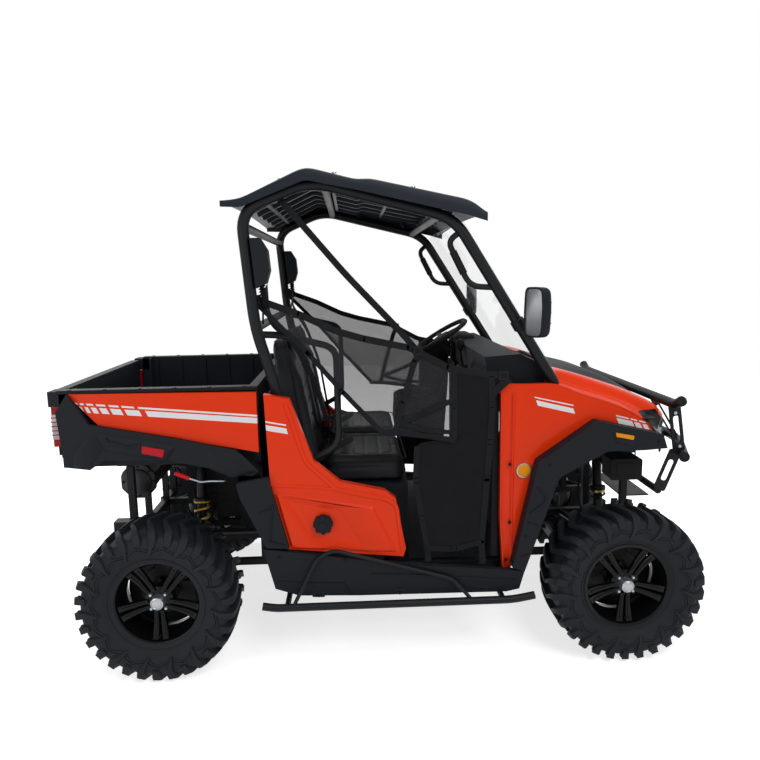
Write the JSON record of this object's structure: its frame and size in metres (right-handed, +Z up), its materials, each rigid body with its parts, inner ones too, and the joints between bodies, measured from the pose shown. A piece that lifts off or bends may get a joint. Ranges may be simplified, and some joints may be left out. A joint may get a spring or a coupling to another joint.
{
  "type": "side by side utility vehicle",
  "caption": "Side by side utility vehicle with roll cage, moulded roof, side nets, bull bar and tipping cargo bed with drop tailgate.",
  "frame": {"origin": "on the ground, half way between the axles and on the centre plane, at the bounding box's bottom centre", "axes": "+X towards the nose, +Y towards the vehicle's left side, +Z up"},
  "size_m": [2.8, 1.6, 2.06],
  "materials": {
    "alloy": "satin",
    "cast": "raw",
    "charcoal": "textured",
    "clear": "clear",
    "exhaust": "brushed",
    "frame_black": "satin powder coat",
    "grip": "matte",
    "headlamp": "clear",
    "lamp": "clear red",
    "net": "woven",
    "orange": "gloss",
    "rim": "satin",
    "roof_black": "satin",
    "shock": "gloss",
    "tyre": "matte",
    "vinyl": "grained"
  },
  "bodies": {
    "chassis": {"arch_trims": "charcoal", "belt_reels": "charcoal", "bull_bar": "frame_black", "cab_rear_panel": "charcoal", "cowl_panel": "charcoal", "dashboard": "charcoal", "drive_line": "cast", "engine_block": "cast", "floor_tub": "charcoal", "front_fenders": "orange", "front_flares": "charcoal", "fuel_cap": "charcoal", "head_lamps": "headlamp", "main_frame": "frame_black", "mirrors": "charcoal", "muffler": "exhaust", "nose_panel": "charcoal", "quarter_panels": "orange", "radiator": "alloy", "rear_knuckles": "cast", "rocker_panels": "charcoal", "roll_cage": "frame_black", "roof_panel": "roof_black", "seat_backs": "vinyl", "seat_base": "charcoal", "seat_cushions": "vinyl", "shock_absorbers": "shock", "side_nets": "net", "side_steps": "frame_black", "suspension_arms": "frame_black", "windshield": "clear"},
    "knuckle_left": {"knuckle_left": "cast"},
    "knuckle_right": {"knuckle_right": "cast"},
    "steering_rack": {"steering_rack": "alloy"},
    "steering_wheel": {"steering_wheel": "grip"},
    "wheel_front_left": {"tyre_front_left": "tyre", "rim_front_left": "rim"},
    "wheel_front_right": {"tyre_front_right": "tyre", "rim_front_right": "rim"},
    "wheel_rear_left": {"tyre_rear_left": "tyre", "rim_rear_left": "rim"},
    "wheel_rear_right": {"tyre_rear_right": "tyre", "rim_rear_right": "rim"},
    "bed": {"bed_tub": "charcoal", "bed_sides": "orange", "bed_trims": "charcoal", "tail_lamps": "lamp"},
    "tailgate": {"tailgate": "charcoal"},
    "hood": {"hood_lid": "orange"}
  },
  "joints": [
    {"name": "steer_left", "type": "hinge", "parent": "chassis", "child": "knuckle_left", "pos_m": [0.975, 0.5, 0.33], "axis": [0, 0, 1], "range_deg": [-30, 30]},
    {"name": "steer_right", "type": "hinge", "parent": "chassis", "child": "knuckle_right", "pos_m": [0.975, -0.5, 0.33], "axis": [0, 0, 1], "range_deg": [-30, 30]},
    {"name": "rack_slide", "type": "slide", "parent": "chassis", "child": "steering_rack", "axis": [0, 1, 0], "range_m": [-0.053, 0.053]},
    {"name": "steering_turn", "type": "hinge", "parent": "chassis", "child": "steering_wheel", "pos_m": [0.337, 0.375, 1.303], "axis": [-0.515, 0, 0.8572], "range_deg": [-270.5, 270.5]},
    {"name": "spin_front_left", "type": "hinge", "parent": "knuckle_left", "child": "wheel_front_left", "pos_m": [0.975, 0.625, 0.33], "axis": [0, 1, 0], "continuous": true},
    {"name": "spin_front_right", "type": "hinge", "parent": "knuckle_right", "child": "wheel_front_right", "pos_m": [0.975, -0.625, 0.33], "axis": [0, 1, 0], "continuous": true},
    {"name": "spin_rear_left", "type": "hinge", "parent": "chassis", "child": "wheel_rear_left", "pos_m": [-0.975, 0.625, 0.33], "axis": [0, 1, 0], "continuous": true},
    {"name": "spin_rear_right", "type": "hinge", "parent": "chassis", "child": "wheel_rear_right", "pos_m": [-0.975, -0.625, 0.33], "axis": [0, 1, 0], "continuous": true},
    {"name": "bed_tilt", "type": "hinge", "parent": "chassis", "child": "bed", "pos_m": [-1.2, 0, 0.832], "axis": [0, -1, 0], "range_deg": [0, 40]},
    {"name": "tailgate_drop", "type": "hinge", "parent": "bed", "child": "tailgate", "pos_m": [-1.379, 0, 0.918], "axis": [0, -1, 0], "range_deg": [0, 90]},
    {"name": "hood_open", "type": "hinge", "parent": "chassis", "child": "hood", "pos_m": [0.7422, 0, 1.224], "axis": [0, -1, 0], "range_deg": [0, 50]}
  ],
  "couplings": [
    {"joint": "steer_right", "follows": "steer_left", "ratio": 1},
    {"joint": "rack_slide", "follows": "steer_left", "m_per_rad": -0.1},
    {"joint": "steering_turn", "follows": "steer_left", "ratio": 9}
  ]
}
